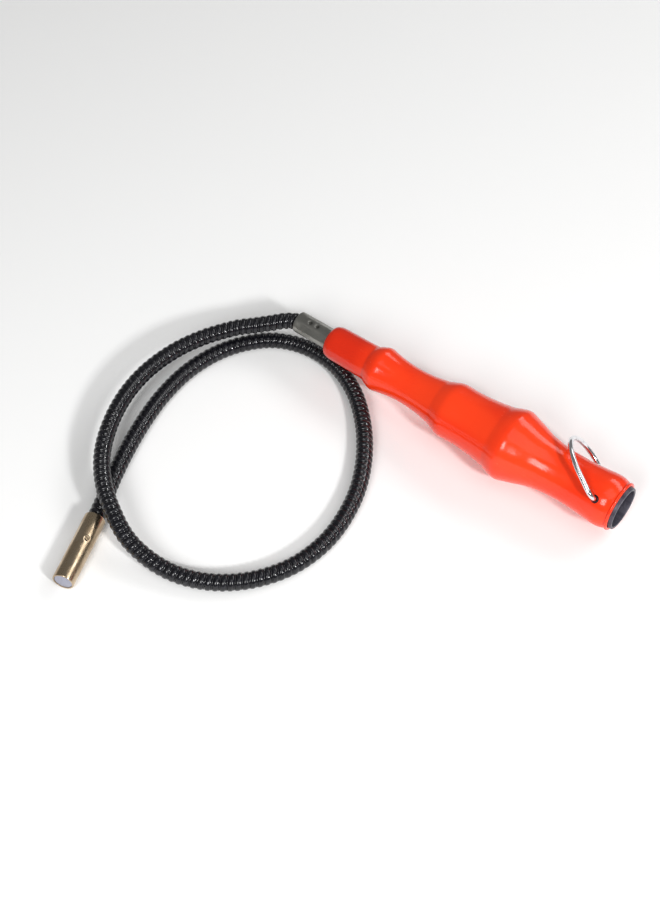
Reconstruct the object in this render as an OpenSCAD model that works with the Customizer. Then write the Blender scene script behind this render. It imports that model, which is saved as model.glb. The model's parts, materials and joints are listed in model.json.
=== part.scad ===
// Flexible magnetic pickup tool, lying coiled on a flat surface.
// Lengths are in millimetres. +X runs along the handle from its front end to its butt,
// +Z is up, and the origin is the centre of the footprint on the surface.

/* [Grip] */
// Length of the grip along its axis
grip_len = 124.8; // [118:0.2:130]
// Diameter just behind the rounded front end
front_d = 13.1; // [12.8:0.1:13.6]
// Diameter of the first knuckle
knuckle_1_d = 17.2; // [16:0.1:18]
// Diameter of the waist between the first and second knuckles
waist_d = 14.2; // [13.8:0.1:15]
// Diameter of the second knuckle
knuckle_2_d = 21.1; // [20:0.1:22.5]
// Diameter of the third knuckle, which the handle rests on
knuckle_3_d = 27.2; // [26.8:0.1:28.5]
// Diameter of the waist ahead of the butt
rear_waist_d = 17.7; // [17.4:0.1:19]
// Diameter of the flared butt
butt_d = 19.5; // [19:0.1:21]

/* [Core tube] */
// Outer diameter of the steel tube inside the butt
core_d = 16; // [15:0.1:16.2]
// Wall of the core tube
core_wall = 1; // [0.6:0.1:1.5]
// Length of the core tube
core_len = 36; // [30:1:40]
// How far the core tube stands out of the grip
core_proud = 1.2; // [0.5:0.1:2]

/* [Collar] */
// Outer diameter of the crimped collar
collar_d = 8.2; // [8:0.1:9]
// Wall of the collar
collar_wall = 0.7; // [0.5:0.05:0.8]
// Length of collar that shows ahead of the grip
collar_out = 15.2; // [12:0.2:17]
// Length of collar that is held in the grip
collar_in = 28; // [20:1:32]

/* [Flexible shaft] */
// Outer diameter of the black winding
shaft_d = 6.2; // [6:0.1:6.3]
// Diameter of the hole that the winding leaves for the inner coil
winding_bore_d = 4.2; // [4:0.1:4.4]
// Wire diameter of the inner coil
coil_wire_d = 0.9; // [0.6:0.1:1.2]

/* [Magnet head] */
// Outer diameter of the magnet housing
head_d = 7.7; // [7.5:0.1:8.2]
// Wall of the magnet housing
head_wall = 0.55; // [0.45:0.05:0.6]
// Length of the magnet housing
head_len = 27.5; // [25:0.5:30]
// Length of the magnet
magnet_len = 12; // [8:0.5:14]
// How far the magnet's face is set back from the rim
magnet_inset = 0.2; // [0:0.1:0.5]

/* [Hanging loop] */
// Diameter of the loop's wire
wire_d = 1.8; // [1.5:0.1:2]
// Width of the loop between the centrelines of its legs
loop_w = 25; // [24:0.5:27]
// Distance from the hinge line to the centre of the wire at the top
loop_reach = 22.6; // [21:0.1:26]
// Distance from the hinge line to the end of the grip
hole_inset = 7; // [6:0.5:8]
// Turn of the hinge line about the handle's axis, in degrees
loop_roll = 43; // [0:1:60]
// Lean of the loop above the handle's axis, in degrees
loop_lean = 35; // [32:1:60]

/* [Hidden] */

$fn = 64;

// Centre of the footprint, from the front end of the grip
footprint = [38.6, -60.4];
// The handle lies level on its third knuckle
axis_z = knuckle_3_d / 2;
hole_x = grip_len - hole_inset;
// Radial room where one piece slides into another
fit_gap = 0.05;
// Distance that cutters run past the faces they cut
past = 1;

// Grip outline
grip_curve_steps = 4;
front_r = front_d / 2;
crease_1 = [18.8, front_r + 0.25];
crease_2 = [49.6, knuckle_2_d / 2 - 1.85];
crease_3 = [75.3, knuckle_3_d / 2 - 1.6];
front_outline = [
    [0, 4.9], [0.8, front_r - 0.65], [2.8, front_r - 0.1], [8, front_r], crease_1,
];
knuckle_1_outline = [
    crease_1, [20.9, knuckle_1_d / 2 - 0.7], [23.4, knuckle_1_d / 2],
    [26.3, knuckle_1_d / 2 - 0.5], [30.8, waist_d / 2 + 0.3], [35.8, waist_d / 2],
    [40.8, waist_d / 2 + 0.2], [45.3, waist_d / 2 + 0.75], crease_2,
];
knuckle_2_outline = [
    crease_2, [52.3, knuckle_2_d / 2 - 0.75], [55.1, knuckle_2_d / 2],
    [59.8, knuckle_2_d / 2 - 0.1], [65.3, knuckle_2_d / 2 + 0.05],
    [70.3, knuckle_2_d / 2 + 0.6], crease_3,
];
knuckle_3_outline = [
    crease_3, [78.3, knuckle_3_d / 2 - 0.5], [81.2, knuckle_3_d / 2],
    [84.2, knuckle_3_d / 2 - 0.7], [87.8, rear_waist_d / 2 + 2.75],
    [92.8, rear_waist_d / 2 + 1.2], [98.8, rear_waist_d / 2 + 0.25],
    [104.8, rear_waist_d / 2], [109.8, rear_waist_d / 2 + 0.1],
    [114.8, butt_d / 2 - 0.4], [118.6, butt_d / 2], [121.2, butt_d / 2 - 0.15],
    [122.8, butt_d / 2 - 0.6], [123.6, butt_d / 2 - 0.95],
];
// The rolled lip at the butt, behind a shallow groove
lip_r = 0.6;
lip_centre = butt_d / 2 - 1.15;
// The outlines above are drawn for a grip of this length
outline_len = 124.8;
// Hollow between the collar's bore and the core tube's bore
hollow_d = 11;
hollow_start = 41.8;

// Shaft route: the centreline from inside the collar to the head, by hand
route = [
    [2.8, 0, 13.6], [-7.2, 0, 13.6], [-14.8, -0.1, 13.55], [-19.6, -2, 12.9], [-24, -5.6, 11.9],
    [-28.9, -10, 11], [-34.3, -15.6, 10.6], [-40.5, -26.6, 10.7], [-44.3, -38.4, 10.9],
    [-45.7, -51.5, 10.9], [-44.2, -64.5, 10.8], [-39.7, -77.5, 10.7], [-32.7, -89.5, 10.5],
    [-23.3, -99, 10.4], [-13, -105.6, 9.8], [-2.2, -110, 7.5], [8.8, -110.5, 4.7],
    [19.3, -108.5, 3.3], [29.3, -104, 3.1], [37.8, -97, 3.1], [44.3, -88, 3.1],
    [48.3, -78, 3.1], [49.8, -66, 3.1], [48.3, -53.5, 3.1], [44.3, -41, 3.1],
    [37.3, -28.5, 3.1], [27.8, -17, 3.1], [16.3, -7.5, 3.1], [3.3, -1.8, 3.1],
    [-10.2, -1.2, 3.1], [-22.2, -5.5, 3.1], [-30.7, -14, 3.1], [-36.2, -25, 3.1],
    [-38.7, -38, 3.1], [-38.2, -51.5, 3.1], [-35.7, -64.5, 3.1], [-31.7, -78, 3.1],
    [-27, -90.5, 3.13], [-22.7, -100, 3.4], [-18.8, -109, 3.8], [-15, -119.4, 3.85],
];
// Places in the route where the two bending stretches start and end
root_end = 6;
tip_start = 37;
route_steps = 2;
shaft_sides = 12;

// The head lies along the last leg of the route
head_rear = [-18.8, -109, head_d / 2];
head_heading = -69.9;
head_bore_d = head_d - 2 * head_wall;

// The loop's wire: pin ends, rounded corners, straight legs and a half-round top
corner_r = 3.5;
pin_end = 4.5;
grip_hole_d = 3;
core_hole_d = wire_d + 0.2;
top_r = loop_w / 2;

function spline_point(a, b, c, d, t) =
    0.5 * (2 * b + (c - a) * t + (2 * a - 5 * b + 4 * c - d) * t * t
           + (3 * b - a - 3 * c + d) * t * t * t);

// A smooth curve through the points, with the given number of steps between each pair
function smooth(points, steps) = concat(
    [for (i = [0:len(points) - 2]) for (k = [0:steps - 1])
        spline_point(points[max(i - 1, 0)], points[i], points[i + 1],
                     points[min(i + 2, len(points) - 1)], k / steps)],
    [points[len(points) - 1]]);

function unit(v) = v / norm(v);

function heading(path, i) =
    unit(path[min(i + 1, len(path) - 1)] - path[max(i - 1, 0)]);

// One ring of points round the path, with its first corner straight down
function ring(path, i, r) =
    let (ahead = heading(path, i), side = unit(cross(ahead, [0, 0, 1])),
         up = cross(side, ahead))
    [for (k = [0:shaft_sides - 1])
        let (a = 360 * k / shaft_sides - 90)
        path[i] + r * (cos(a) * side + sin(a) * up)];

shaft_path = smooth(route, route_steps);

// A pipe swept along part of the shaft's path
module pipe(first, last, outer_r, inner_r) {
    n = shaft_sides;
    rings = last - first + 1;
    points = [for (i = [first:last])
        each concat(ring(shaft_path, i, outer_r), ring(shaft_path, i, inner_r))];
    outer = [for (i = [0:rings - 2]) for (k = [0:n - 1])
        [i * 2 * n + k, (i + 1) * 2 * n + k, (i + 1) * 2 * n + (k + 1) % n,
         i * 2 * n + (k + 1) % n]];
    inner = [for (i = [0:rings - 2]) for (k = [0:n - 1])
        [i * 2 * n + n + (k + 1) % n, (i + 1) * 2 * n + n + (k + 1) % n,
         (i + 1) * 2 * n + n + k, i * 2 * n + n + k]];
    tail = (rings - 1) * 2 * n;
    start_face = [for (k = [0:n - 1]) [k, (k + 1) % n, n + (k + 1) % n, n + k]];
    end_face = [for (k = [0:n - 1])
        [tail + k, tail + n + k, tail + n + (k + 1) % n, tail + (k + 1) % n]];
    polyhedron(points, concat(outer, inner, start_face, end_face), convexity = 8);
}

module placed() {
    translate([-footprint[0], -footprint[1], 0]) children();
}

// +Z of a turned profile laid along the handle's axis
module along_handle(x = 0) {
    translate([x, 0, axis_z]) rotate([0, 90, 0]) children();
}

// Y is the hinge line of the hanging loop
module hinge_frame() {
    translate([hole_x, 0, axis_z]) rotate([-loop_roll, 0, 0]) children();
}

module head_frame() {
    translate(head_rear) rotate([0, 0, head_heading]) rotate([0, 90, 0]) children();
}

module cross_hole(d) {
    hinge_frame() rotate([90, 0, 0]) cylinder(h = butt_d + 2 * past, d = d, center = true);
}

module grip_outline() {
    curve = concat(
        smooth(front_outline, grip_curve_steps), smooth(knuckle_1_outline, grip_curve_steps),
        smooth(knuckle_2_outline, grip_curve_steps),
        smooth(knuckle_3_outline, grip_curve_steps));
    stretch_x = grip_len / outline_len;
    end = grip_len - lip_r;
    polygon(concat([[0, 0]], [for (p = curve) [p[1], p[0] * stretch_x]],
                   [[lip_centre, end], [0, end]]));
}

module grip() {
    color("orangered") placed() difference() {
        union() {
            along_handle() rotate_extrude() grip_outline();
            along_handle(grip_len - lip_r)
                rotate_extrude() translate([lip_centre, 0]) circle(lip_r);
        }
        along_handle(-past) cylinder(h = collar_in + past, d = collar_d + 2 * fit_gap);
        along_handle(hollow_start)
            cylinder(h = grip_len - hollow_start, d = hollow_d);
        along_handle(grip_len - core_len + core_proud)
            cylinder(h = core_len + past, d = core_d + 2 * fit_gap);
        cross_hole(grip_hole_d);
    }
}

module core_tube() {
    edge = 0.3;
    outer_r = core_d / 2;
    inner_r = outer_r - core_wall;
    color("slategray") placed() difference() {
        along_handle(grip_len - core_len + core_proud) rotate_extrude()
            polygon([
                [inner_r, 0], [outer_r, 0], [outer_r, core_len - edge],
                [outer_r - edge, core_len], [inner_r + edge, core_len],
                [inner_r, core_len - edge],
            ]);
        cross_hole(core_hole_d);
    }
}

// Steel sleeve with four dents that grip the shaft
module collar() {
    dent_r = 1.6;
    dent_depth = 0.4;
    color("gray") placed() difference() {
        along_handle(-collar_out) cylinder(h = collar_out + collar_in, d = collar_d);
        along_handle(-collar_out - past)
            cylinder(h = collar_out + collar_in + 2 * past, d = collar_d - 2 * collar_wall);
        for (x = [-10.2, -5.2], a = [0, 180])
            along_handle(x) rotate([0, 0, a])
                translate([collar_d / 2 + dent_r - dent_depth, 0, 0]) sphere(dent_r);
    }
}

module winding(first, last) {
    pipe(first, last, shaft_d / 2, winding_bore_d / 2);
}

module inner_coil(first, last) {
    coil_r = winding_bore_d / 2 - fit_gap;
    pipe(first, last, coil_r, coil_r - coil_wire_d);
}

module shaft_root() {
    color([0.1, 0.1, 0.11]) placed() winding(0, root_end * route_steps);
}

module shaft_loop() {
    color([0.13, 0.13, 0.14]) placed()
        winding(root_end * route_steps, tip_start * route_steps);
}

module shaft_tip() {
    color([0.1, 0.1, 0.11]) placed()
        winding(tip_start * route_steps, len(shaft_path) - 1);
}

module inner_coil_root() {
    color("dimgray") placed() inner_coil(0, root_end * route_steps);
}

module inner_coil_loop() {
    color("dimgray") placed() inner_coil(root_end * route_steps, tip_start * route_steps);
}

module inner_coil_tip() {
    color("dimgray") placed() inner_coil(tip_start * route_steps, len(shaft_path) - 1);
}

// Tube with a rounded rim, and a dent that grips the shaft
module magnet_housing() {
    rim = 0.35;
    outer_r = head_d / 2;
    inner_r = head_bore_d / 2;
    dent_r = 1.5;
    dent_depth = 0.35;
    dent_turn = 30;
    color([0.68, 0.58, 0.42]) placed() difference() {
        head_frame() rotate_extrude()
            polygon([
                [inner_r, 0], [outer_r, 0], [outer_r, head_len - rim],
                [outer_r - rim, head_len], [inner_r, head_len],
            ]);
        for (a = [0, 180])
            head_frame() rotate([0, 0, a - dent_turn])
                translate([outer_r + dent_r - dent_depth, 0, 0.4 * head_len])
                    sphere(dent_r);
    }
}

module magnet() {
    color("silver") placed() head_frame()
        translate([0, 0, head_len - magnet_inset - magnet_len])
            cylinder(h = magnet_len, r = head_bore_d / 2 - fit_gap);
}

// Half of the wire: one pin end, its corner and one leg, in the loop's own plane
module loop_side() {
    straight = loop_reach - top_r;
    translate([0, pin_end, 0]) rotate([-90, 0, 0])
        cylinder(h = top_r - corner_r - pin_end, d = wire_d);
    translate([corner_r, top_r - corner_r, 0]) rotate([0, 0, 90])
        rotate_extrude(angle = 90) translate([corner_r, 0]) circle(d = wire_d);
    translate([corner_r, top_r, 0]) rotate([0, 90, 0])
        cylinder(h = straight - corner_r, d = wire_d);
}

module hanging_loop() {
    color("lightgray") placed() hinge_frame() rotate([0, 180 + loop_lean, 0]) {
        loop_side();
        mirror([0, 1, 0]) loop_side();
        translate([loop_reach - top_r, 0, 0]) rotate([0, 0, -90])
            rotate_extrude(angle = 180) translate([top_r, 0]) circle(d = wire_d);
    }
}

grip();
core_tube();
collar();
shaft_root();
shaft_loop();
shaft_tip();
inner_coil_root();
inner_coil_loop();
inner_coil_tip();
magnet_housing();
magnet();
hanging_loop();
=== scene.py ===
"""Looks of a flexible magnetic pickup tool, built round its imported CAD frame.

Lengths are in metres. +X runs along the handle from its front end to its butt, +Z is up, and the
floor is at Z = 0. "Handle coordinates" start at the grip's front end, on the handle's own axis.
"""

import json
import math

import bmesh
import bpy
import numpy as np
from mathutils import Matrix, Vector


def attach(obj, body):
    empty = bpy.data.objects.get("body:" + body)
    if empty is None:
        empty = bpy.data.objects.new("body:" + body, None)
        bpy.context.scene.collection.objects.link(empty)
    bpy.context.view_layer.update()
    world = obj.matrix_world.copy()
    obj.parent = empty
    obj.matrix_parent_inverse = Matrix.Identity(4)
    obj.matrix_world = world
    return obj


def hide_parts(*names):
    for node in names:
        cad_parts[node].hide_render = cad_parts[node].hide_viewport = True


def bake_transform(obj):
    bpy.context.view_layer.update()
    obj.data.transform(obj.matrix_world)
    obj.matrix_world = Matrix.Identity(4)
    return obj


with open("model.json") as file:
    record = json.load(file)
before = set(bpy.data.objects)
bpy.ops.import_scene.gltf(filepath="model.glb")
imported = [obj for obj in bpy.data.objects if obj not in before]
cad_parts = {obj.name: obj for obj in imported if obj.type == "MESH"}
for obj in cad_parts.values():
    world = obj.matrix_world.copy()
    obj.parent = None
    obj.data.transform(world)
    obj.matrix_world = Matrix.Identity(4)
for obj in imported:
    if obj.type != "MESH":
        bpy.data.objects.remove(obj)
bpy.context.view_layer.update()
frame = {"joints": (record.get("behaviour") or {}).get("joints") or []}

MM = 0.001
JOINTS = {joint["name"]: joint for joint in frame["joints"]}
UP = np.array([0.0, 0.0, 1.0])

# The hanging loop's hinge fixes the handle's place in the frame
HINGE = np.array(JOINTS["hanging_loop_swing"]["pos_m"])
HINGE_AXIS = np.array(JOINTS["hanging_loop_swing"]["axis"])
HINGE_FROM_FRONT = 117.8 * MM
FRONT = HINGE - np.array([HINGE_FROM_FRONT, 0, 0])
FLOOR_FRONT = np.array([FRONT[0], FRONT[1], 0])

# Grip
GRIP_LENGTH = 124.8 * MM
COLLAR_BORE_R = 4.15 * MM
COLLAR_BORE_DEPTH = 28 * MM
HOLLOW_R = 5.5 * MM
HOLLOW_START = 41.8 * MM
CORE_BORE_R = 8.05 * MM
GRIP_HOLE_R = 1.5 * MM
# The cross hole's cutter is longer than the grip is wide
CUTTER_LENGTH = 30 * MM
# The grip's outline as rows of place along the handle and radius, in handle coordinates.
# Each stretch is one smooth curve, and they meet in the soft creases ahead of the knuckles.
GRIP_STRETCHES = [
    [(0.0008, 0.0059), (0.0028, 0.00645), (0.008, 0.00655), (0.0188, 0.0068)],
    [(0.0188, 0.0068), (0.0209, 0.0079), (0.0234, 0.0086), (0.0263, 0.0081), (0.0308, 0.0074),
     (0.0358, 0.0071), (0.0408, 0.0073), (0.0453, 0.00785), (0.0496, 0.0087)],
    [(0.0496, 0.0087), (0.0523, 0.0098), (0.0551, 0.01055), (0.0598, 0.01045), (0.0653, 0.0106),
     (0.0703, 0.01115), (0.0753, 0.012)],
    [(0.0753, 0.012), (0.0783, 0.0131), (0.0812, 0.0136), (0.0842, 0.01276), (0.0878, 0.01166),
     (0.0928, 0.01005), (0.0988, 0.0091), (0.1048, 0.00885), (0.1098, 0.00895), (0.1148, 0.00935),
     (0.1186, 0.00975), (0.1212, 0.0096), (0.1228, 0.00915), (0.1236, 0.0088)],
]
# The grip's colour is made darker from its front end to here
GRIP_DARK_END = (12 * MM, 21 * MM)
LIP_R = 0.6 * MM
LIP_CENTRE = (124.2 * MM, 8.6 * MM)

# Core tube
CORE_R = 8 * MM
CORE_WALL = 1 * MM
CORE_LENGTH = 36 * MM
CORE_PROUD = 1.2 * MM
CORE_HOLE_R = 1 * MM

# Collar
COLLAR_R = 4.1 * MM
COLLAR_WALL = 0.7 * MM
COLLAR_OUT = 15.2 * MM
COLLAR_IN = 28 * MM

# Flexible shaft
SHAFT_R = 3.1 * MM
RIB_PITCH = 2.44 * MM
COIL_R = 1.6 * MM
COIL_WIRE_R = 0.45 * MM
# One turn of the outer winding, as rows of distance along the shaft and radius in
# millimetres: a wide high rib and a narrow low one
RIB_CREST = [(-1.18, 2.68), (-1.08, 2.84), (-0.86, 2.99), (-0.56, 3.075), (-0.24, 3.1),
             (0.08, 3.075), (0.36, 2.99), (0.56, 2.84), (0.66, 2.7), (0.76, 2.8), (0.92, 2.86),
             (1.08, 2.8), (1.18, 2.68)]
RIB_FOOT = [(0.4, 2.14), (-0.4, 2.14)]
# The shaft's centreline from inside the collar to inside the head, in handle coordinates with
# heights above the floor: the same points as the CAD route.
ROUTE = np.array([
    (0.0028, 0, 0.0136), (-0.0072, 0, 0.0136), (-0.0148, -0.0001, 0.01355),
    (-0.0196, -0.002, 0.0129), (-0.024, -0.0056, 0.0119), (-0.0289, -0.01, 0.011),
    (-0.0343, -0.0156, 0.0106), (-0.0405, -0.0266, 0.0107), (-0.0443, -0.0384, 0.0109),
    (-0.0457, -0.0515, 0.0109), (-0.0442, -0.0645, 0.0108), (-0.0397, -0.0775, 0.0107),
    (-0.0327, -0.0895, 0.0105), (-0.0233, -0.099, 0.0104), (-0.013, -0.1056, 0.0098),
    (-0.0022, -0.11, 0.0075), (0.0088, -0.1105, 0.0047), (0.0193, -0.1085, 0.0033),
    (0.0293, -0.104, 0.0031), (0.0378, -0.097, 0.0031), (0.0443, -0.088, 0.0031),
    (0.0483, -0.078, 0.0031), (0.0498, -0.066, 0.0031), (0.0483, -0.0535, 0.0031),
    (0.0443, -0.041, 0.0031), (0.0373, -0.0285, 0.0031), (0.0278, -0.017, 0.0031),
    (0.0163, -0.0075, 0.0031), (0.0033, -0.0018, 0.0031), (-0.0102, -0.0012, 0.0031),
    (-0.0222, -0.0055, 0.0031), (-0.0307, -0.014, 0.0031), (-0.0362, -0.025, 0.0031),
    (-0.0387, -0.038, 0.0031), (-0.0382, -0.0515, 0.0031), (-0.0357, -0.0645, 0.0031),
    (-0.0317, -0.078, 0.0031), (-0.027, -0.0905, 0.00313), (-0.0227, -0.1, 0.0034),
    (-0.0188, -0.109, 0.0038), (-0.015, -0.1194, 0.00385),
])
COLLAR_MOUTH = 2
ROOT_END = 6
TIP_START = 37
HEAD_REAR = 39

# Magnet head
HEAD_R = 3.85 * MM
HEAD_WALL = 0.55 * MM
HEAD_LENGTH = 27.5 * MM
HEAD_HEADING = math.radians(-69.9)
HEAD_AHEAD = np.array([math.cos(HEAD_HEADING), math.sin(HEAD_HEADING), 0])
MAGNET_LENGTH = 12 * MM
MAGNET_INSET = 0.2 * MM
MAGNET_GAP = 0.05 * MM

# Hanging loop
WIRE_R = 0.9 * MM
LOOP_TOP_R = 12.5 * MM
LOOP_REACH = 22.6 * MM
LOOP_CORNER_R = 3.5 * MM
LOOP_PIN_END = 4.5 * MM
LOOP_LEAN = math.radians(35)


# ---------------------------------------------------------------- curves and meshes

def unit(vectors):
    return vectors / np.linalg.norm(vectors, axis=-1, keepdims=True)


def smooth_curve(points, steps):
    """A Catmull-Rom curve through the points, with that many steps between each pair."""
    points = np.asarray(points, float)
    padded = np.vstack([points[:1], points, points[-1:]])
    t = np.arange(steps)[:, None] / steps
    spans = [
        0.5 * (2 * b + (c - a) * t + (2 * a - 5 * b + 4 * c - d) * t**2
               + (3 * b - a - 3 * c + d) * t**3)
        for a, b, c, d in zip(padded, padded[1:], padded[2:], padded[3:])
    ]
    return np.vstack([*spans, points[-1:]])


def arc(centre, radius, start, end, steps):
    """Points on an arc, as rows of (along, radius). Angles are in degrees from the outward side."""
    angles = np.radians(np.linspace(start, end, steps + 1))
    return np.stack([centre[0] + radius * np.sin(angles),
                     centre[1] + radius * np.cos(angles)], axis=1)


class Path:
    """A smooth centreline, read by the length along it."""

    def __init__(self, points, steps=24):
        self.steps = steps
        self.points = smooth_curve(points, steps)
        lengths = np.linalg.norm(np.diff(self.points, axis=0), axis=1)
        self.length = np.concatenate([[0], np.cumsum(lengths)])
        self.ahead = unit(np.gradient(self.points, self.length, axis=0))

    def length_at(self, index):
        """Length along the path at one of the points that it was made from."""
        return self.length[index * self.steps]

    def read(self, table, s):
        return np.stack([np.interp(s, self.length, table[:, k]) for k in range(3)], axis=-1)

    def at(self, s):
        """Point, sideways direction and upward direction at the lengths s."""
        ahead = unit(self.read(self.ahead, s))
        side = unit(np.cross(ahead, UP))
        return self.read(self.points, s), side, np.cross(side, ahead)


def build(name, rings, local, closed, caps=False):
    """A mesh through rings of points. local holds each point's place in the unbent piece."""
    count, sides = rings.shape[:2]
    rows = np.arange(count if closed else count - 1)[:, None]
    cols = np.arange(sides)[None, :]
    next_rows, next_cols = (rows + 1) % count, (cols + 1) % sides
    quads = np.stack([rows * sides + cols, rows * sides + next_cols,
                      next_rows * sides + next_cols, next_rows * sides + cols], axis=-1)
    faces = quads.reshape(-1, 4).tolist()
    if caps:
        faces += [list(range(sides)), list(range((count - 1) * sides, count * sides))]
    mesh = bpy.data.meshes.new(name)
    mesh.from_pydata(rings.reshape(-1, 3).tolist(), [], faces)
    place = mesh.attributes.new("local", "FLOAT_VECTOR", "POINT")
    place.data.foreach_set("vector", local.reshape(-1, 3).astype(np.float32).ravel())
    work = bmesh.new()
    work.from_mesh(mesh)
    bmesh.ops.remove_doubles(work, verts=work.verts, dist=1e-7)
    bmesh.ops.recalc_face_normals(work, faces=work.faces)
    work.to_mesh(mesh)
    work.free()
    piece = bpy.data.objects.new(name, mesh)
    bpy.context.scene.collection.objects.link(piece)
    return piece


def shade(piece, sharp_degrees):
    """Smooth shading, with edges sharper than this kept sharp."""
    piece.data.shade_smooth()
    piece.data.set_sharp_from_angle(angle=math.radians(sharp_degrees))


def turned(name, profile, sides, origin, ahead, closed, radius=None):
    """A body turned round an axis. Profile rows are (along, radius).

    radius(row, angle), if given, returns the radii of one row, for a section that isn't round.
    """
    ahead = np.asarray(ahead, float)
    side = unit(np.cross(ahead, UP))
    top = np.cross(side, ahead)
    angles = 2 * math.pi * np.arange(sides) / sides
    along = np.repeat(profile[:, :1], sides, axis=1)
    radii = np.repeat(profile[:, 1:2], sides, axis=1)
    if radius is not None:
        radii = np.array([radius(row, angles) for row in range(len(profile))])
    across, above = radii * np.sin(angles), radii * np.cos(angles)
    rings = (origin + along[..., None] * ahead + across[..., None] * side
             + above[..., None] * top)
    local = np.stack([along, across, above], axis=-1)
    return build(name, rings, local, closed)


def drill(piece, radius):
    """Cuts the hanging loop's cross hole."""
    bpy.ops.mesh.primitive_cylinder_add(vertices=48, radius=radius, depth=CUTTER_LENGTH)
    cutter = bpy.context.object
    cutter.rotation_mode = "QUATERNION"
    cutter.rotation_quaternion = Vector(HINGE_AXIS).to_track_quat("Z", "Y")
    cutter.location = HINGE
    cut = piece.modifiers.new("hole", "BOOLEAN")
    cut.operation = "DIFFERENCE"
    cut.solver = "EXACT"
    cut.object = cutter
    bpy.context.view_layer.update()
    drilled = bpy.data.meshes.new_from_object(
        piece.evaluated_get(bpy.context.evaluated_depsgraph_get()))
    piece.modifiers.clear()
    piece.data = drilled
    bpy.data.objects.remove(cutter)


# ---------------------------------------------------------------- materials

class Finish:
    """A procedural material. Places are read in the unbent piece, in metres."""

    def __init__(self, name, color, metallic, roughness, **sockets):
        self.material = bpy.data.materials.new(name)
        self.material.use_nodes = True
        self.tree = self.material.node_tree
        self.shader = self.tree.nodes["Principled BSDF"]
        self.set("Base Color", (*color, 1))
        self.set("Metallic", metallic)
        self.set("Roughness", roughness)
        for socket, value in sockets.items():
            self.set(socket.replace("_", " "), value)
        self.place = self.node("ShaderNodeAttribute", attribute_name="local").outputs["Vector"]
        self.height = None

    def set(self, socket, value):
        self.shader.inputs[socket].default_value = value

    def node(self, kind, **settings):
        node = self.tree.nodes.new(kind)
        for key, value in settings.items():
            setattr(node, key, value)
        return node

    def link(self, out, into):
        self.tree.links.new(out, into)

    def along(self):
        """Place along the piece."""
        split = self.node("ShaderNodeSeparateXYZ")
        self.link(self.place, split.inputs["Vector"])
        return split.outputs["X"]

    def attribute(self, name):
        return self.node("ShaderNodeAttribute", attribute_name=name).outputs["Fac"]

    def noise(self, size, stretch=(1, 1, 1), detail=3.0, rough=0.5):
        """Noise with marks about that size. Stretch lengthens them along each local axis."""
        mapping = self.node("ShaderNodeMapping")
        mapping.inputs["Scale"].default_value = [1 / (size * s) for s in stretch]
        self.link(self.place, mapping.inputs["Vector"])
        noise = self.node("ShaderNodeTexNoise")
        noise.inputs["Scale"].default_value = 1
        noise.inputs["Detail"].default_value = detail
        noise.inputs["Roughness"].default_value = rough
        self.link(mapping.outputs["Vector"], noise.inputs["Vector"])
        return noise.outputs["Fac"]

    def spread(self, value, low, high, out_low=0.0, out_high=1.0):
        """The value, moved from one range to another and held within it."""
        node = self.node("ShaderNodeMapRange", interpolation_type="SMOOTHSTEP")
        for socket, number in zip(("From Min", "From Max", "To Min", "To Max"),
                                  (low, high, out_low, out_high)):
            node.inputs[socket].default_value = number
        self.link(value, node.inputs["Value"])
        return node.outputs["Result"]

    def math(self, operation, a, b):
        node = self.node("ShaderNodeMath", operation=operation)
        for value, socket in ((a, node.inputs[0]), (b, node.inputs[1])):
            if isinstance(value, (int, float)):
                socket.default_value = value
            else:
                self.link(value, socket)
        return node.outputs["Value"]

    def mix(self, share, a, b):
        """Colour a at share 0 and colour b at share 1."""
        node = self.node("ShaderNodeMix", data_type="RGBA")
        self.link(share, node.inputs["Factor"])
        for value, socket in ((a, node.inputs["A"]), (b, node.inputs["B"])):
            if isinstance(value, tuple):
                socket.default_value = (*value, 1)
            else:
                self.link(value, socket)
        return node.outputs["Result"]

    def color(self, out):
        self.link(out, self.shader.inputs["Base Color"])

    def roughness(self, out):
        self.link(out, self.shader.inputs["Roughness"])

    def metallic(self, out):
        self.link(out, self.shader.inputs["Metallic"])

    def bump(self, height, depth):
        """Adds a bump of that depth where height goes from 0 to 1."""
        node = self.node("ShaderNodeBump")
        node.inputs["Strength"].default_value = 1
        node.inputs["Distance"].default_value = depth
        self.link(height, node.inputs["Height"])
        if self.height is not None:
            self.link(self.height, node.inputs["Normal"])
        self.height = node.outputs["Normal"]
        self.link(self.height, self.shader.inputs["Normal"])


def grip_plastic():
    """Glossy orange-red plastic: faint clouding, orange peel and fine handling scuffs."""
    finish = Finish("grip_plastic", (0.88, 0.043, 0.008), 0, 0.3, Specular_IOR_Level=0.4)
    clouds = finish.noise(14 * MM, (2, 1, 1), detail=2)
    scuffs = finish.spread(finish.noise(0.5 * MM, (9, 1, 1), detail=5, rough=0.65), 0.6, 0.72)
    worn = finish.spread(finish.noise(9 * MM, detail=3), 0.5, 0.68)
    scuffs = finish.math("MULTIPLY", scuffs, worn)
    tone = finish.mix(finish.spread(clouds, 0.35, 0.65), (0.86, 0.036, 0.006), (0.92, 0.05, 0.009))
    # Darker colour from the grip's front end to GRIP_DARK_END
    behind = finish.spread(finish.along(), *GRIP_DARK_END)
    tone = finish.mix(behind, (0.68, 0.024, 0.005), tone)
    finish.color(finish.mix(finish.math("MULTIPLY", scuffs, 0.35), tone, (0.95, 0.12, 0.05)))
    gloss = finish.spread(finish.noise(3 * MM, detail=4), 0.3, 0.7, 0.12, 0.2)
    finish.roughness(finish.math("ADD", gloss, finish.math("MULTIPLY", scuffs, 0.2)))
    finish.bump(finish.noise(1.6 * MM, detail=2), 0.02 * MM)
    finish.bump(scuffs, 0.004 * MM)
    return finish.material


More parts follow.
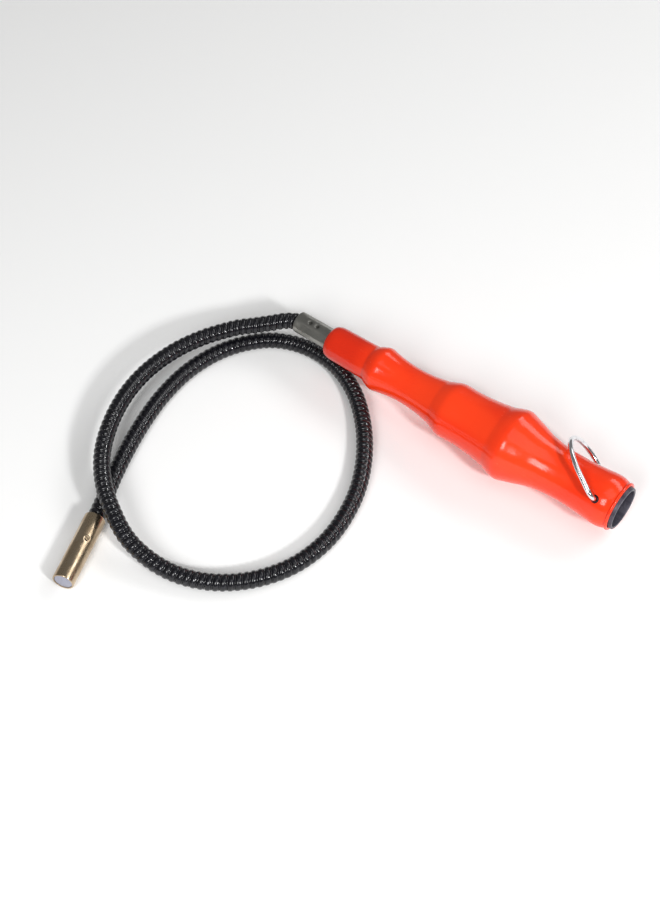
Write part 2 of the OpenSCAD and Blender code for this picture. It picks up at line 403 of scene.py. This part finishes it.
def winding_black():
    """Black coated wire, with bare metal starting to show along the crests."""
    finish = Finish("winding_black", (0.006, 0.006, 0.009), 0, 0.2, Specular_IOR_Level=0.5)
    crest = finish.spread(finish.attribute("crest"), 0.8, 1)
    flecks = finish.spread(finish.noise(0.35 * MM, detail=5, rough=0.7), 0.57, 0.66)
    rubbed = finish.spread(finish.noise(7 * MM, detail=2), 0.42, 0.62)
    wear = finish.math("MULTIPLY", finish.math("MULTIPLY", crest, flecks), rubbed)
    dust = finish.spread(finish.noise(1.1 * MM, detail=4), 0.4, 0.7)
    tone = finish.mix(dust, (0.004, 0.004, 0.006), (0.009, 0.009, 0.013))
    finish.color(finish.mix(wear, tone, (0.32, 0.32, 0.34)))
    finish.metallic(finish.math("MULTIPLY", wear, 0.9))
    finish.roughness(finish.spread(finish.noise(0.8 * MM, detail=4), 0.3, 0.7, 0.1, 0.16))
    finish.bump(finish.noise(0.3 * MM, detail=3), 0.01 * MM)
    return finish.material


def drawn_steel(name, color, dark, rough_low, rough_high):
    """Drawn and handled steel: lines along the piece, fine grain, duller patches and painted shade
    in any dents.
    """
    finish = Finish(name, color, 1, rough_low)
    lines = finish.noise(0.12 * MM, (60, 1, 1), detail=4, rough=0.6)
    patches = finish.spread(finish.noise(2.5 * MM, (1.6, 1, 1), detail=5, rough=0.6), 0.35, 0.7)
    # Painted shade: the colour goes towards dark grey in the dents
    painted_dent_shade = finish.spread(finish.attribute("dent"), 0.1, 0.7, 0, 0.75)
    finish.color(finish.mix(painted_dent_shade, finish.mix(patches, color, dark), (0.06, 0.058, 0.05)))
    finish.roughness(finish.math(
        "ADD", finish.math("MULTIPLY", lines, 0.12),
        finish.spread(patches, 0, 1, rough_low, rough_high)))
    finish.bump(lines, 0.012 * MM)
    finish.bump(finish.noise(0.25 * MM, detail=3), 0.004 * MM)
    return finish.material


def core_coating():
    """Slate grey satin coating on the core tube, with faint streaks and fine grain."""
    finish = Finish("core_coating", (0.06, 0.055, 0.075), 0.3, 0.42)
    grain = finish.noise(0.6 * MM, detail=4)
    streaks = finish.noise(1.2 * MM, (12, 1, 1), detail=4)
    finish.color(finish.mix(finish.spread(streaks, 0.35, 0.7),
                            (0.05, 0.046, 0.064), (0.08, 0.074, 0.098)))
    finish.roughness(finish.spread(grain, 0.3, 0.7, 0.34, 0.5))
    finish.bump(grain, 0.012 * MM)
    return finish.material


def bright_plating(name, color, dull):
    """Bright plating with faint draw lines and thin grey bloom."""
    finish = Finish(name, color, 1, 0.12)
    bloom = finish.spread(finish.noise(1.5 * MM, detail=5, rough=0.6), 0.45, 0.75)
    lines = finish.noise(0.15 * MM, (40, 1, 1), detail=3)
    finish.color(finish.mix(bloom, color, dull))
    finish.roughness(finish.spread(bloom, 0, 1, 0.1, 0.26))
    finish.bump(lines, 0.004 * MM)
    return finish.material


def housing_brass():
    """Brown-gold drawn tube: faint lines along it, tarnish in clouds and painted shade round the
    dent.
    """
    finish = Finish("housing_brass", (0.42, 0.32, 0.2), 1, 0.25)
    tarnish = finish.spread(finish.noise(4 * MM, (2, 1, 1), detail=5, rough=0.6), 0.35, 0.7)
    lines = finish.noise(0.15 * MM, (50, 1, 1), detail=4)
    tone = finish.mix(tarnish, (0.58, 0.465, 0.33), (0.45, 0.34, 0.22))
    # Painted shade: the colour goes towards dark brown round the dent
    dent = finish.spread(finish.attribute("dent"), 0.15, 0.9, 0, 0.6)
    finish.color(finish.mix(dent, tone, (0.16, 0.11, 0.06)))
    finish.roughness(finish.math("ADD", finish.math("MULTIPLY", lines, 0.08),
                                 finish.spread(tarnish, 0, 1, 0.16, 0.3)))
    finish.bump(lines, 0.006 * MM)
    finish.bump(finish.noise(0.5 * MM, detail=4), 0.005 * MM)
    return finish.material


def magnet_nickel():
    """Ground and nickel plated magnet face, with a few rub marks."""
    finish = Finish("magnet_nickel", (0.6, 0.61, 0.69), 1, 0.35)
    rubs = finish.spread(finish.noise(0.4 * MM, (1, 1, 7), detail=5, rough=0.65), 0.5, 0.72)
    finish.color(finish.mix(rubs, (0.43, 0.435, 0.52), (0.32, 0.325, 0.39)))
    finish.roughness(finish.spread(rubs, 0, 1, 0.3, 0.46))
    finish.bump(finish.noise(0.1 * MM, (1, 1, 30), detail=3), 0.006 * MM)
    return finish.material


# ---------------------------------------------------------------- pieces

def grip_profile():
    """The grip's whole section: front bore, outside, rolled lip, core bore and hollow."""
    stretches = [smooth_curve(stretch, 8)[:-1] for stretch in GRIP_STRETCHES]
    outside = np.vstack([*stretches, GRIP_STRETCHES[-1][-1:]])
    for _ in range(3):
        outside[1:-1] = 0.25 * outside[:-2] + 0.5 * outside[1:-1] + 0.25 * outside[2:]
    nose = smooth_curve([(0, 0.0049), (0.0002, 0.0053), outside[0]], 4)[:-1]
    lip = arc(LIP_CENTRE, LIP_R, -62, 140, 14)
    core_floor = GRIP_LENGTH + CORE_PROUD - CORE_LENGTH
    bore_mouth = smooth_curve([(0.0005, COLLAR_BORE_R), (0, COLLAR_BORE_R + 0.4 * MM)], 2)
    return np.vstack([
        [(COLLAR_BORE_DEPTH, 0), (COLLAR_BORE_DEPTH, COLLAR_BORE_R)], bore_mouth, nose, outside,
        lip, [(LIP_CENTRE[0], CORE_BORE_R), (core_floor, CORE_BORE_R), (core_floor, HOLLOW_R),
              (HOLLOW_START, HOLLOW_R), (HOLLOW_START, 0)],
    ])


def make_grip():
    piece = turned("grip_body", grip_profile(), 128, FRONT, (1, 0, 0), closed=False)
    drill(piece, GRIP_HOLE_R)
    shade(piece, 40)
    return piece


def make_core_tube():
    edge = 0.25 * MM
    start, end = GRIP_LENGTH + CORE_PROUD - CORE_LENGTH, GRIP_LENGTH + CORE_PROUD
    inner = CORE_R - CORE_WALL
    profile = np.vstack([
        [(start, inner), (start, CORE_R)],
        arc((end - edge, CORE_R - edge), edge, 0, 90, 5),
        arc((end - edge, inner + edge), edge, 90, 180, 5),
    ])
    piece = turned("core_tube_body", profile, 96, FRONT, (1, 0, 0), closed=True)
    drill(piece, CORE_HOLE_R)
    shade(piece, 40)
    return piece


def dent_share(along, angle, centre, centre_angle, radius, half_length, half_width):
    """From 0 outside a dent to 1 at its middle, for an oval dent on a tube of that radius."""
    turn = (angle - centre_angle + math.pi) % (2 * math.pi) - math.pi
    distance = np.hypot((along - centre) / half_length, turn * radius / half_width)
    return np.clip(1 - distance**2, 0, 1) ** 1.5


def mark_dents(piece, shares):
    """Stores each point's share of a dent, for the material to read."""
    dent = piece.data.attributes.new("dent", "FLOAT", "POINT")
    dent.data.foreach_set("value", np.array(shares, np.float32).ravel())


def make_collar():
    """Steel sleeve squeezed to four soft flats, with two dents on top and two below."""
    edge = 0.2 * MM
    rows = 170
    inner_r = COLLAR_R - COLLAR_WALL
    outside = np.vstack([
        arc((-COLLAR_OUT + edge, COLLAR_R - edge), edge, -90, 0, 4),
        np.stack([np.linspace(-COLLAR_OUT + 2 * edge, COLLAR_IN, rows),
                  np.full(rows, COLLAR_R)], axis=1),
    ])
    inside = outside[::-1] * (1, 0) + (0, inner_r)
    profile = np.vstack([outside, inside])
    flat_distance = 3.86 * MM
    dents = [(place * MM, turn) for place in (-9.2, -6) for turn in np.radians([10, 190])]
    depth = 0.42 * MM
    shares = []

    def squeeze(along):
        """How far the section is squeezed: full in the middle, none at the mouth or in the grip."""
        rise = np.clip((along + COLLAR_OUT - 0.4 * MM) / (3 * MM), 0, 1)
        fall = np.clip((1.5 * MM - along) / (2.5 * MM), 0, 1)
        share = np.minimum(rise, fall)
        return share * share * (3 - 2 * share)

    def radius(row, angles):
        along, base = profile[row]
        turn = (angles - math.radians(12)) % (math.pi / 2) - math.pi / 4
        flat = np.minimum(flat_distance / np.cos(turn), COLLAR_R)
        section = COLLAR_R + squeeze(along) * (flat - COLLAR_R)
        share = sum(dent_share(along, angles, place, centre, COLLAR_R, 1.3 * MM, 1.15 * MM)
                    for place, centre in dents)
        shares.append(share)
        loss = COLLAR_R - section + depth * share
        return base - np.minimum(loss, base - SHAFT_R - 0.02 * MM)

    piece = turned("collar_sleeve", profile, 96, FRONT, (1, 0, 0), closed=True, radius=radius)
    mark_dents(piece, shares)
    shade(piece, 50)
    return piece


def wound_wire(name, path, first, last, section, steps_per_turn, shift=0.0):
    """A wire wound round the path between two lengths. Section rows are (along, radius)."""
    turns = (last - first) / RIB_PITCH
    angles = 2 * math.pi * np.linspace(first, last, int(turns * steps_per_turn) + 1) / RIB_PITCH
    along = (RIB_PITCH * angles / (2 * math.pi))[:, None] + section[None, :, 0] + shift
    radii = np.repeat(section[None, :, 1], len(angles), axis=0)
    point, side, up = path.at(along)
    across = (radii * np.cos(angles)[:, None])[..., None]
    above = (radii * np.sin(angles)[:, None])[..., None]
    rings = point + across * side + above * up
    local = np.concatenate([along[..., None], across, above], axis=-1)
    return build(name, rings, local, closed=False, caps=True)


def make_winding(name, path, first, last):
    section = np.array(RIB_CREST + RIB_FOOT) * MM
    piece = wound_wire(name, path, first, last, section, 36)
    local = np.zeros(len(piece.data.vertices) * 3, np.float32)
    piece.data.attributes["local"].data.foreach_get("vector", local)
    radii = np.hypot(*local.reshape(-1, 3).T[1:])
    low = RIB_CREST[0][1] * MM
    crest = piece.data.attributes.new("crest", "FLOAT", "POINT")
    crest.data.foreach_set("value", np.clip((radii - low) / (SHAFT_R - low), 0, 1)
                           .astype(np.float32))
    shade(piece, 60)
    return piece


def make_inner_coil(name, path, first, last):
    turns = np.linspace(0, 2 * math.pi, 8, endpoint=False)
    section = np.stack([COIL_WIRE_R * np.cos(turns), COIL_R + COIL_WIRE_R * np.sin(turns)],
                       axis=1)
    piece = wound_wire(name, path, first, last, section, 20, shift=RIB_PITCH / 2)
    shade(piece, 80)
    return piece


def head_origin():
    return FLOOR_FRONT + ROUTE[HEAD_REAR] * (1, 1, 0) + HEAD_R * UP


def make_housing():
    """Drawn tube crimped on the shaft: a dent with a flattened patch on each side of it."""
    rim = 0.3 * MM
    rows = 110
    inner_r = HEAD_R - HEAD_WALL
    profile = np.vstack([
        arc((rim, HEAD_R - rim), rim, -90, 0, 4),
        np.stack([np.linspace(2 * rim, HEAD_LENGTH - 2 * rim, rows), np.full(rows, HEAD_R)],
                 axis=1),
        arc((HEAD_LENGTH - rim, HEAD_R - rim), rim, 0, 90, 5),
        [(HEAD_LENGTH - 0.1 * MM, inner_r), (0.6 * HEAD_LENGTH, inner_r), (0, inner_r)],
    ])
    outer_rows = len(profile) - 3
    dent_place = 0.38 * HEAD_LENGTH
    dents = (-math.radians(30), math.pi - math.radians(30))
    depth = 0.35 * MM
    shares = []

    def radius(row, angles):
        along, base = profile[row]
        share = np.zeros_like(angles)
        loss = np.zeros_like(angles)
        if row < outer_rows:
            for centre in dents:
                pit = dent_share(along, angles, dent_place, centre, HEAD_R, 1.2 * MM, 1.3 * MM)
                patch = dent_share(along, angles, dent_place, centre, HEAD_R, 5 * MM, 2.6 * MM)
                share = share + pit
                loss = loss + depth * pit + 0.1 * MM * patch
        shares.append(share)
        return base - loss

    piece = turned("magnet_housing_tube", profile, 112, head_origin(), HEAD_AHEAD, closed=True,
                   radius=radius)
    mark_dents(piece, shares)
    shade(piece, 45)
    return piece


def make_magnet():
    edge = 0.2 * MM
    radius = HEAD_R - HEAD_WALL - MAGNET_GAP
    end = HEAD_LENGTH - MAGNET_INSET
    start = end - MAGNET_LENGTH
    profile = np.vstack([
        [(start, 0)], arc((start + edge, radius - edge), edge, -90, 0, 4),
        arc((end - edge, radius - edge), edge, 0, 90, 4), [(end, radius * 0.5), (end, 0)],
    ])
    piece = turned("magnet_slug", profile, 72, head_origin(), HEAD_AHEAD, closed=False)
    shade(piece, 40)
    return piece


def make_hanging_loop():
    """Bent wire: two pin ends, two rounded corners, two legs and a half-round top."""
    straight = LOOP_REACH - LOOP_TOP_R
    corner = np.radians(np.linspace(180, 90, 13))
    top = np.radians(np.linspace(90, 0, 25))
    side = np.vstack([
        [(0, LOOP_PIN_END), (0, LOOP_PIN_END + 0.15 * MM), (0, LOOP_PIN_END + 0.5 * MM)],
        np.stack([LOOP_CORNER_R + LOOP_CORNER_R * np.cos(corner),
                  LOOP_TOP_R - LOOP_CORNER_R + LOOP_CORNER_R * np.sin(corner)], axis=1),
        np.stack([np.linspace(LOOP_CORNER_R, straight, 5)[1:-1], np.full(3, LOOP_TOP_R)],
                 axis=1),
        np.stack([straight + LOOP_TOP_R * np.cos(top), LOOP_TOP_R * np.sin(top)], axis=1),
    ])
    line = np.vstack([side, side[-2::-1] * (1, -1)])
    above = np.cross((1, 0, 0), HINGE_AXIS)
    lean = np.array([-math.cos(LOOP_LEAN), 0, 0]) + math.sin(LOOP_LEAN) * above
    normal = np.cross(lean, HINGE_AXIS)
    points = HINGE + line[:, :1] * lean + line[:, 1:] * HINGE_AXIS
    ahead = unit(np.gradient(points, axis=0))
    across = np.cross(normal, ahead)
    angles = 2 * math.pi * np.arange(20) / 20
    radii = np.full(len(points), WIRE_R)
    radii[[0, -1]] = 0.8 * WIRE_R
    around = (np.cos(angles)[None, :, None] * across[:, None]
              + np.sin(angles)[None, :, None] * normal)
    rings = points[:, None] + radii[:, None, None] * around
    length = np.concatenate([[0], np.cumsum(np.linalg.norm(np.diff(points, axis=0), axis=1))])
    local = np.stack([
        np.repeat(length[:, None], len(angles), axis=1),
        radii[:, None] * np.cos(angles), radii[:, None] * np.sin(angles),
    ], axis=-1)
    piece = build("hanging_loop_wire", rings, local, closed=False, caps=True)
    shade(piece, 45)
    return piece


# ---------------------------------------------------------------- camera, light and floor

def make_camera():
    """The photograph's view of the tool."""
    azimuth, elevation, distance = math.radians(37.92), math.radians(52), 0.5435
    target = Vector(FLOOR_FRONT) + Vector((25, -32.83, 0)) * MM
    back = Vector((math.sin(azimuth) * math.cos(elevation),
                   -math.cos(azimuth) * math.cos(elevation), math.sin(elevation)))
    data = bpy.data.cameras.new("camera")
    data.lens = 60
    data.sensor_width = 36
    data.clip_start = 0.01
    camera = bpy.data.objects.new("camera", data)
    camera.location = target + back * distance
    camera.rotation_mode = "QUATERNION"
    camera.rotation_quaternion = (-back).to_track_quat("-Z", "Y")
    bpy.context.scene.collection.objects.link(camera)
    bpy.context.scene.camera = camera


def make_light(name, direction, distance, width, height, power):
    """A soft rectangular light that faces the middle of the tool."""
    data = bpy.data.lights.new(name, "AREA")
    data.shape = "RECTANGLE"
    data.size, data.size_y = width, height
    data.energy = power
    light = bpy.data.objects.new(name, data)
    toward = Vector(direction).normalized()
    light.location = toward * distance
    light.rotation_mode = "QUATERNION"
    light.rotation_quaternion = toward.to_track_quat("Z", "Y")
    bpy.context.scene.collection.objects.link(light)


def make_world():
    world = bpy.data.worlds.new("studio")
    world.use_nodes = True
    background = world.node_tree.nodes["Background"]
    background.inputs["Color"].default_value = (1, 1, 0.995, 1)
    background.inputs["Strength"].default_value = 0.2
    bpy.context.scene.world = world


def make_floor():
    half = 3.0
    mesh = bpy.data.meshes.new("floor")
    corners = [(-half, -half, 0), (half, -half, 0), (half, half, 0), (-half, half, 0)]
    mesh.from_pydata(corners, [], [(0, 1, 2, 3)])
    floor = bpy.data.objects.new("floor", mesh)
    bpy.context.scene.collection.objects.link(floor)
    paper = bpy.data.materials.new("floor_paper")
    paper.use_nodes = True
    shader = paper.node_tree.nodes["Principled BSDF"]
    shader.inputs["Base Color"].default_value = (0.98, 0.98, 0.975, 1)
    shader.inputs["Roughness"].default_value = 0.9
    mesh.materials.append(paper)


def finish_piece(piece, material, slot, node):
    """Gives a piece its material, and lets it stand for its CAD node. The slot is not used."""
    piece.data.materials.clear()
    piece.data.materials.append(material)
    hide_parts(node)


def make_rigid_pieces():
    steel = drawn_steel("collar_steel", (0.36, 0.355, 0.33), (0.24, 0.235, 0.215), 0.26, 0.4)
    pieces = [
        (make_grip(), "handle", grip_plastic(), "grip_plastic", "grip"),
        (make_core_tube(), "handle", core_coating(), "core_steel", "core_tube"),
        (make_collar(), "handle", steel, "collar_steel", "collar"),
        (make_housing(), "magnet_head", housing_brass(), "housing_brass", "magnet_housing"),
        (make_magnet(), "magnet_head", magnet_nickel(), "magnet_nickel", "magnet"),
        (make_hanging_loop(), "hanging_loop",
         bright_plating("loop_plating", (0.78, 0.78, 0.8), (0.6, 0.6, 0.62)),
         "loop_chrome", "hanging_loop"),
    ]
    for piece, body, material, slot, node in pieces:
        finish_piece(piece, material, slot, node)
        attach(piece, body)


def make_shaft():
    """Both windings in three stretches each. The middle stretch moves with the shaft loop's body;
    the first and last stay where they are built.
    """
    path = Path(FLOOR_FRONT + ROUTE)
    margin = RIB_PITCH
    cuts = [margin, path.length_at(ROOT_END), path.length_at(TIP_START),
            path.length[-1] - margin]
    clear = 4 * MM
    mouth, rear = path.length_at(COLLAR_MOUTH), path.length_at(HEAD_REAR)
    stretches = [
        ("root", ("handle", "shaft_loop"), (mouth + 0.5 * MM, cuts[1] - clear)),
        ("loop", ("shaft_loop",), None),
        ("tip", ("shaft_loop", "magnet_head"), (cuts[2] + clear, rear - 0.5 * MM)),
    ]
    black = winding_black()
    wire = drawn_steel("coil_steel", (0.42, 0.42, 0.43), (0.3, 0.3, 0.31), 0.25, 0.4)
    kinds = [("winding", make_winding, black, "black_winding", "shaft_"),
             ("inner_coil", make_inner_coil, wire, "coil_steel", "inner_coil_")]
    for (stretch, bodies, bend), first, last in zip(stretches, cuts, cuts[1:]):
        for kind, make, material, slot, node in kinds:
            piece = make(f"{kind}_{stretch}_wire", path, first, last)
            finish_piece(piece, material, slot, node + stretch)
            if bend is None:
                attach(piece, *bodies)
            else:
                start, end = path.read(path.points, np.array(bend))
                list(bodies)
                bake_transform(piece)


bpy.context.scene.view_settings.view_transform = "Standard"
make_camera()
make_world()
make_floor()
make_light("key", (0.17, -0.74, 0.65), 0.9, 0.3, 0.36, 3.6)
make_light("side", (0.79, -0.24, 0.56), 0.9, 0.1, 0.1, 4.8)
make_light("back", (0.25, 0.72, 0.65), 1.0, 0.9, 0.3, 3.0)
make_light("top", (0.3, -0.1, 1), 1.2, 0.8, 0.8, 1.9)
make_rigid_pieces()
make_shaft()
